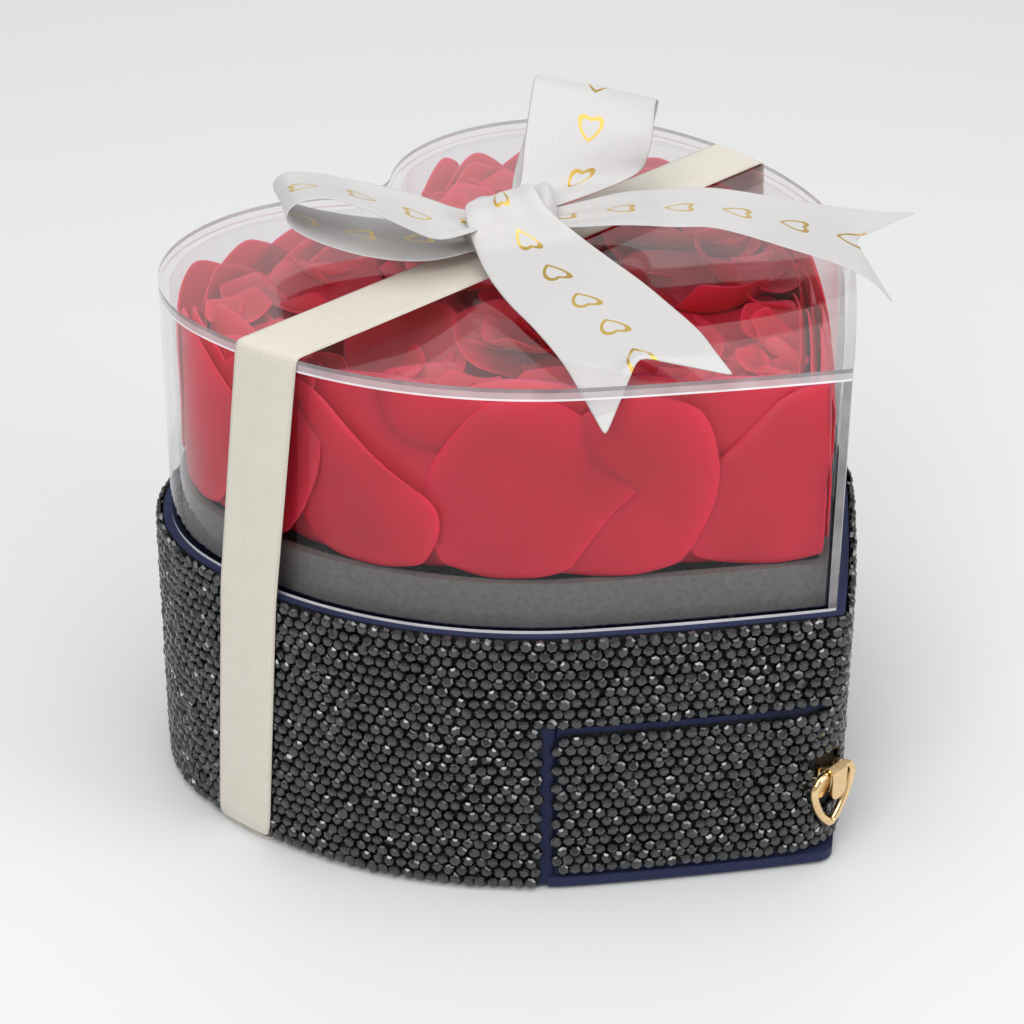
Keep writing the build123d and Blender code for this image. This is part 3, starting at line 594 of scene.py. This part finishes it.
painted_edge_looks = {}
# Painted light for the edges, each mostly clear from behind: grey reflection, white glint, pale reflection
# on the band.
for name, dark, pale, cover, cover_behind in (
    ("acrylic_edge", (0.2, 0.19, 0.2, 1), (0.34, 0.32, 0.33, 1), 0.85, 0.6),
    ("acrylic_joint", (0.8, 0.78, 0.8, 1), (0.98, 0.96, 0.98, 1), 0.9, 0.6),
    ("acrylic_band", (0.46, 0.43, 0.45, 1), (0.62, 0.59, 0.61, 1), 0.75, 0.12),
):
    painted_edge_looks[name], shader, wire = new_material(name, dark[:3], 0.15)
    feed(shader, "Base Color", wire.mottle(140.0).shades(dark, pale))
    behind = wire.node("ShaderNodeNewGeometry", {}, output=6)
    feed(shader, "Alpha", behind.ramp(0.0, 1.0, cover, cover_behind))

bm = bmesh.new()


def extrude_rim(rim):
    """Extrude edges of the lid; returns the new edges and their corners."""
    grown = bmesh.ops.extrude_edge_only(bm, edges=rim)["geom"]
    corners = {item for item in grown if isinstance(item, bmesh.types.BMVert)}
    edges = [item for item in grown if isinstance(item, bmesh.types.BMEdge)]
    return [edge for edge in edges if corners.issuperset(edge.verts)], corners


def raise_rim(rim, levels):
    """Extrude edges of the lid upward through levels and close them with a plate on top."""
    for low, high in zip(levels, levels[1:]):
        rim, corners = extrude_rim(rim)
        bmesh.ops.translate(bm, verts=list(corners), vec=(0, 0, (high - low) * MM))
    bmesh.ops.contextual_create(bm, geom=rim)


(x, y, nx, ny), length = heart_outline(lid_outer_inset, 0.6, lid_steps)
foot = [bm.verts.new((px * MM, py * MM, lid_foot * MM)) for px, py in zip(x, y)]
outer = [bm.edges.new(pair) for pair in zip(foot, foot[1:] + foot[:1])]
(inner_x, inner_y, nx, ny), length = heart_outline(lid_inner_inset, 0.3, lid_steps)
inner, corners = extrude_rim(outer)
for vert in corners:
    k = np.argmin(np.hypot(x * MM - vert.co.x, y * MM - vert.co.y))
    vert.co.xy = inner_x[k] * MM, inner_y[k] * MM
raise_rim(inner, (lid_foot, plate_under))
glue_foot = plate_under - glue_line
raise_rim(outer, (lid_foot, lid_foot + foot_edge, glue_foot, plate_under, lid_top - plate_edge, lid_top))
bmesh.ops.recalc_face_normals(bm, faces=bm.faces)
edge_index, glint_index, band_index = 1, 2, 3
# Painted light by face: glint on the foot and the glue joint, reflection on the sides of the plate and down
# the point.
for face in bm.faces:
    middle = face.calc_center_median() / MM
    upright = abs(face.normal.z) < 0.5
    outside = upright and face.normal.xy.dot(middle.xy) > 0
    if middle.z < lid_foot + foot_edge or outside and glue_foot < middle.z < plate_under:
        face.material_index = glint_index
    elif upright and middle.z > plate_under:
        face.material_index = edge_index if middle.z > lid_top - plate_edge else band_index
    elif outside and abs(middle.x) < 1.4 and middle.y < 0:
        face.material_index = edge_index
lid = new_piece("clear_lid", bm, "lid", clear, smooth=False)
for material in painted_edge_looks.values():
    lid.data.materials.append(material)
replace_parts(lid, "lid_wall", "lid_top")

# Ribbon band: cream ribbed ribbon about half an inch wide, woven with a narrow selvage on each side.
# It is tied round the box and pulled tight over the lid's edges.
band_width = 14.0
band_y = -15.0
rib_pitch = 0.42


def ribbon_places(wire):
    """Place across a ribbon, 0 to 1, and along it, in metres, from its UV map."""
    run = wire.node("ShaderNodeUVMap", {}, uv_map="UVMap")
    across = wire.node("ShaderNodeSeparateXYZ", {0: run})
    along = wire.node("ShaderNodeSeparateXYZ", {0: run}, output=1)
    return across, along


cream, shader, wire = new_material(
    "cream_ribbon", (0.77, 0.7, 0.585), 0.6, sheen_weight=0.2, sheen_roughness=0.4
)
across, along = ribbon_places(wire)
ribs = (along * (math.tau / (rib_pitch * MM))).maths("SINE")
selvage = (across - 0.5).maths("ABSOLUTE").ramp(0.455, 0.475, 0.0, 1.0)
weave = ribs.ramp(-1.0, 1.0, 0.25, 0.85) + wire.mottle(220.0) * 0.25 - selvage * 0.3
lightness = weave.ramp(0.2, 1.1, 0.0, 1.0)
feed(shader, "Base Color", lightness.colours((0.6, 0.55, 0.455, 1), (0.82, 0.775, 0.69, 1)))
feed(shader, "Normal", weave.bump(0.5, 0.00015))


def strip(name, rows, body, material, thickness):
    """A ribbon from rows of points across it, with a UV map that runs 0 to 1 across and in metres along."""
    bm = bmesh.new()
    layer = bm.loops.layers.uv.new("UVMap")
    rows = [[Vector(p) * MM for p in row] for row in rows]
    columns = len(rows[0]) - 1
    long = [0.0]
    for a, b in zip(rows, rows[1:]):
        long.append(long[-1] + (b[len(b) // 2] - a[len(a) // 2]).length)
    grid = bmesh.ops.create_grid(bm, x_segments=columns, y_segments=len(rows) - 1, size=1.0)["verts"]
    tags = {}
    for vert in grid:
        i = round((vert.co.x + 1) / 2 * columns)
        j = round((vert.co.y + 1) / 2 * (len(rows) - 1))
        tags[vert] = (i / columns, long[j])
        vert.co = rows[j][i]
    for face in bm.faces:
        for loop in face.loops:
            loop[layer].uv = tags[loop.vert]
    made = new_piece(name, bm, body, material)
    thicken(made, thickness)
    return made, long[-1]


def wall_x(y, inset):
    """Half width of the heart at y on its shoulder."""
    return shoulder_at.x + math.sqrt((shoulder_radius - inset) ** 2 - (y - shoulder_at.y) ** 2)


leg_heights = (1.1, 6.0, 14.0, 24.0, 34.0, 44.0, 51.0, 54.2)
slant_shares = (0.02, 0.1, 0.3, 0.5, 0.7, 0.9, 0.975)
plate_shares = (0.985, 0.96, 0.8, 0.6, 0.4, 0.2)
on_stones = -0.45
on_lid_edge = 2.85
over_edge = 104.25
over_plate = 104.32
slant_rise = 49.1
slant_in = 3.15
left_askew = 7.5
askew_foot = 1.0
askew_top = 104.5
half_run = [(z, on_stones, 1.0) for z in leg_heights]
half_run += [(lid_foot + slant_rise * share, on_stones + slant_in * share, 1.0) for share in slant_shares]
half_run += [(over_edge, on_lid_edge, 1.0)]
half_run += [(over_plate, lid_outer_inset, share) for share in plate_shares]
rows = []
for hand in (-1, 1):
    steps = half_run + [(over_plate, lid_outer_inset, 0.0)] if hand < 0 else half_run[::-1]
    for z, inset, share in steps:
        askew = left_askew * (askew_top - z) / (askew_top - askew_foot) if hand < 0 else 0.0
        places = [band_y + askew + band_width * (i / 6 - 0.5) for i in range(7)]
        rows.append([(hand * wall_x(y, inset) * share, y, z) for y in places])
band, band_long = strip("ribbon_band_cloth", rows, "lid", cream, 0.4)
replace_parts(band, "ribbon_band")

# Ribbon ends: the two ends of the band, of the same cream ribbon.
# They are turned under the base and glued to its floor.
tabs_made = []
for hand, name, end_y in ((-1, "ribbon_end_left", band_y + left_askew), (1, "ribbon_end_right", band_y)):
    places = [end_y + band_width * (i / 6 - 0.5) for i in range(7)]
    rows = [[(hand * wall_x(y, inset), y, 0.6) for y in places] for inset in (-0.3, 2.0, 5.0, 8.0, 11.9)]
    tab, tab_long = strip(name, rows, "base", cream, 0.3)
    tabs_made.append(tab)
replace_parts(tabs_made[0], "ribbon_end_tabs")

# Bow: white satin ribbon an inch wide, tied on the band, with two loops and two swallow-tailed ends.
# A row of small gold foil hearts runs along its middle. The front end comes over the knot.
satin_width = 25.0
satin_thickness = 0.3
tail_notch = 11.0
notch_area = 140.0
satin, shader, wire = new_material(
    "white_satin", (0.7, 0.68, 0.66), 0.34, sheen_weight=0.25, sheen_roughness=0.3, anisotropic=0.5
)
across, along = ribbon_places(wire)
threads = wire.node("ShaderNodeCombineXYZ", {0: across * 260.0, 1: along * 60.0})
yarn = wire.node("ShaderNodeTexNoise", {"Vector": threads, "Scale": 1.0, "Detail": 2.0})
heart_x = (across - 0.5) * 7.6
heart_y = ((along * 90.0).maths("FRACT") - 0.42) * 3.4
bend = heart_y - heart_x.maths("ABSOLUTE") * 0.75
heart = heart_x * heart_x + bend * bend
foil = heart.maths("LESS_THAN", 0.62) * heart.maths("GREATER_THAN", 0.30) * wire.marked("printed")
white = yarn.shades((0.575, 0.56, 0.552, 1), (0.62, 0.605, 0.597, 1))
feed(shader, "Base Color", foil.colours(white, (0.62, 0.42, 0.1, 1)))
feed(shader, "Metallic", foil * 0.75)
feed(shader, "Roughness", yarn.ramp(0.3, 0.7, 0.28, 0.36))
feed(shader, "Normal", yarn.bump(0.03, 0.0001))


def smooth_run(stations, count):
    """Catmull-Rom points through stations, each a tuple of numbers."""
    table = np.array(stations, dtype=float)
    ends = np.vstack([2 * table[0] - table[1], table, 2 * table[-1] - table[-2]])
    out = []
    for step in range(count + 1):
        t = step / count * (len(table) - 1)
        k = min(int(t), len(table) - 2)
        f = t - k
        a, b, c, d = ends[k : k + 4]
        square = 2 * a - 5 * b + 4 * c - d
        cube = 3 * b - a - 3 * c + d
        out.append(0.5 * (2 * b + (c - a) * f + square * f**2 + cube * f**3))
    return out


def bow_rows(stations, count, cup, pleat, notch):
    """Rows across a bow ribbon from stations of centre and half width, with pleats where it is gathered."""
    rows = []
    run = smooth_run(stations, count)
    for k, station in enumerate(run):
        centre, half = Vector(station[:3]), Vector(station[3:])
        ahead = Vector(run[min(k + 1, count)][:3]) - Vector(run[max(k - 1, 0)][:3])
        normal = ahead.cross(half).normalized()
        tight = max(0.0, 1.0 - half.length / 11.0)
        end = max(0.0, k / count - 0.8) / 0.2
        row = []
        for i in range(13):
            u = i / 6 - 1
            lift = cup * u * u + pleat * tight * math.cos(u * 8.0)
            back = -ahead.normalized() * notch * end * (1.0 - abs(u))
            row.append(centre + half * u + normal * lift + back)
        rows.append(row)
    return rows


def add_bow(name, stations, count, cup, pleat, node, notch=0.0):
    """One ribbon of the bow."""
    rows = bow_rows(stations, count, cup, pleat, notch)
    made, long = strip(name, rows, "lid", satin, satin_thickness)
    mark(made, "printed", [1.0] * len(made.data.vertices))
    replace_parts(made, node)
    return made, long


left_loop = [
    (-6.5, -14.4, 111.0, -0.8, -2.0, 0.2),
    (-13, -12, 111.8, -3.2, -5.2, 0.0),
    (-18.9, -9.0, 113.2, -6.6, -8.8, 0.1),
    (-23.1, -5.0, 115.2, -7.3, -9.9, 0.8),
    (-27.0, 1.0, 117.2, -7.0, -10.0, 1.6),
    (-31.5, 7.0, 118.8, -7.0, -10.0, 2.2),
    (-36.0, 10.6, 118.6, -7.2, -9.8, 1.8),
    (-37.6, 11.4, 115.8, -7.2, -9.8, 1.6),
    (-34.5, 8.2, 112.6, -7.2, -9.8, 1.4),
    (-27, 1.0, 109.6, -7.2, -9.8, 0.8),
    (-18, -6, 108.0, -5.8, -8.4, 0.2),
    (-8, -13.5, 107.8, -1.8, -3.4, 0.0),
]
piece, long = add_bow("bow_left_loop_satin", left_loop, 44, 0.3, 0.7, "bow_left_loop")
upper_loop = [
    (-1, -14.8, 111.0, 3.0, -2.4, 0.0),
    (7, -15.6, 111.8, 7.6, -4.2, 0.0),
    (15.2, -15.8, 113.2, 11.0, -5.6, -0.2),
    (19.2, -14.0, 117.6, 9.6, -7.8, -1.0),
    (22.8, -11.8, 122.0, 8.4, -8.9, -1.8),
    (27.0, -8.9, 125.7, 8.4, -8.6, -2.6),
    (29.6, -7.4, 126.2, 8.2, -8.6, -2.6),
    (31.2, -6.2, 124.2, 8.0, -8.8, -2.2),
    (28.5, -6.4, 118.0, 7.6, -9.0, -1.4),
    (18, -9.5, 111.5, 6.5, -7.5, -0.6),
    (4, -13.2, 109.2, 2.4, -3.0, 0.0),
]
piece, long = add_bow("bow_upper_loop_satin", upper_loop, 44, 0.2, 0.7, "bow_upper_loop")
front_tail = [
    (-3.4, -13.6, 115.4, 3.4, -3.7, 2.0),
    (-7.2, -15.9, 116.4, 4.4, -4.7, 1.9),
    (-9.5, -20.1, 114.2, 5.3, -5.7, 1.2),
    (-9.8, -25.4, 110.6, 6.4, -7.6, 1.4),
    (-12.6, -33.4, 108.8, 7.4, -8.6, 2.0),
    (-15.6, -42.6, 107.6, 8.4, -8.8, 2.2),
    (-19.1, -52.2, 107.0, 9.2, -8.4, 1.8),
    (-23.4, -62.6, 106.2, 9.6, -7.8, 2.2),
    (-26.4, -69.6, 104.2, 9.4, -7.4, 3.2),
    (-27.8, -76.0, 100.2, 9.8, -6.2, 4.6),
]
piece, long = add_bow("bow_front_tail_satin", front_tail, 40, 0.0, 0.4, "bow_front_tail", tail_notch)
satin_width * MM * long - notch_area * MM**2
right_tail = [
    (0.0, -18.6, 109.8, 3.0, 2.8, 0.0),
    (5.2, -24.6, 111.2, 5.2, 4.6, -0.3),
    (11.3, -30.9, 112.5, 7.4, 6.4, -0.6),
    (16.9, -38.3, 113.1, 9.2, 7.7, -1.0),
    (23.6, -44.0, 112.6, 9.5, 7.9, -0.9),
    (32.1, -55.6, 110.0, 9.8, 7.7, 0.0),
    (37.6, -61.8, 108.0, 9.8, 7.5, 0.8),
    (42.4, -67.0, 105.8, 9.9, 7.0, 2.2),
    (46.5, -71.4, 103.5, 10.2, 5.2, 4.8),
]
piece, long = add_bow("bow_right_tail_satin", right_tail, 40, 0.2, 0.7, "bow_right_tail", tail_notch)
satin_width * MM * long - notch_area * MM**2

# Knot: the same white satin drawn tight round the middle of the bow, left plain.
# Its folds are pulled in toward its right end, and it sits on the ribbon band.
knot_at = Vector((-3.8, -15.4, 110.4))
knot_deep = 7.9
knot_high = 6.0
knot_half_length = 8.8
knot_twist = 2.6
across = Vector((0.683, -0.73, 0.0))
ahead = Vector((0.73, 0.683, 0.0))
upward = Vector((0.0, 0.0, 1.0))
tilt = Vector((0.0, 0.0, 1.8))
rows = []
for j in range(37):
    turn = math.tau * j / 36
    row = []
    for i in range(41):
        u = i / 20 - 1
        pleat = (u * 1.4 + 0.45 * math.sin(turn + 0.4) + 0.15) % 1.0
        fold = math.sin(math.pi * pleat**1.6) ** 2
        reach = (0.92 - 0.1 * (1.0 + u) + 0.05 * (1.6 + u) * fold) * (1.0 - 0.95 * u**12)
        around = reach * (ahead * (knot_deep * math.cos(turn)) + upward * (knot_high * math.sin(turn)))
        shear = ahead * (knot_twist * math.sin(turn) * u) + tilt * u
        row.append(knot_at + across * (knot_half_length * u) + around + shear)
    rows.append(row)
knot, knot_long = strip("bow_knot_satin", rows, "lid", satin, satin_thickness)
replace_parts(knot, "bow_knot")

# Floor: pale seamless studio sweep of matt paper.
# It is wider than any view of the box.
sweep, shader, wire = new_material("floor", (0.8, 0.805, 0.805), 0.6)
bm = bmesh.new()
bmesh.ops.create_grid(bm, x_segments=1, y_segments=1, size=4.0)
floor_mesh = bpy.data.meshes.new("floor")
bm.to_mesh(floor_mesh)
bm.free()
floor = bpy.data.objects.new("floor", floor_mesh)
bpy.context.scene.collection.objects.link(floor)
floor_mesh.materials.append(sweep)

# Light: soft studio boxes in a pale room, places in metres.
# One stands to the left, one in front to the right, one hangs above and a weak one stands behind.
scene = bpy.context.scene
world = bpy.data.worlds.new("room")
scene.world = world
world.use_nodes = True
backdrop = world.node_tree.nodes["Background"]
backdrop.inputs["Color"].default_value = (0.83, 0.84, 0.85, 1)
backdrop.inputs["Strength"].default_value = 0.6


def add_light(name, place, target, size, power):
    """A square soft box at place, aimed at target."""
    lamp = bpy.data.lights.new(name, "AREA")
    lamp.energy = power
    lamp.size = size
    made = bpy.data.objects.new(name, lamp)
    scene.collection.objects.link(made)
    made.location = place
    made.rotation_euler = (Vector(target) - Vector(place)).to_track_quat("-Z", "Y").to_euler()


add_light("key", (-0.75, -0.35, 0.75), (0, -0.02, 0.06), 0.4, 3.1)
add_light("fill", (0.35, -0.95, 0.5), (0, -0.02, 0.05), 0.5, 2.9)
add_light("top", (-0.15, -0.15, 1.1), (0, -0.02, 0.06), 0.95, 5.6)
add_light("back", (0.8, 0.85, 0.66), (0, -0.02, 0.06), 0.9, 1.4)

# Camera: long lens from the front left and above, as in the photograph.
# Its turn is built from the direction it looks from and a slight roll.
camera = bpy.data.cameras.new("camera")
camera.lens = 98.27
camera.sensor_width = 36.0
camera.clip_start = 0.01
camera_object = bpy.data.objects.new("camera", camera)
scene.collection.objects.link(camera_object)
azimuth = math.radians(-46.9217)
elevation = math.radians(28.5554)
roll = math.radians(0.3338)
back = Vector(
    (math.sin(azimuth) * math.cos(elevation), -math.cos(azimuth) * math.cos(elevation), math.sin(elevation))
)
right = (-back).cross(Vector((0, 0, 1))).normalized()
up = right.cross(-back)
tilted = math.cos(roll) * right + math.sin(roll) * up
stood = math.cos(roll) * up - math.sin(roll) * right
turn = Matrix((tilted, stood, back)).transposed().to_4x4()
camera_object.matrix_world = Matrix.Translation((-0.36226, -0.351437, 0.314795)) @ turn
scene.camera = camera_object
scene.view_settings.view_transform = "Standard"
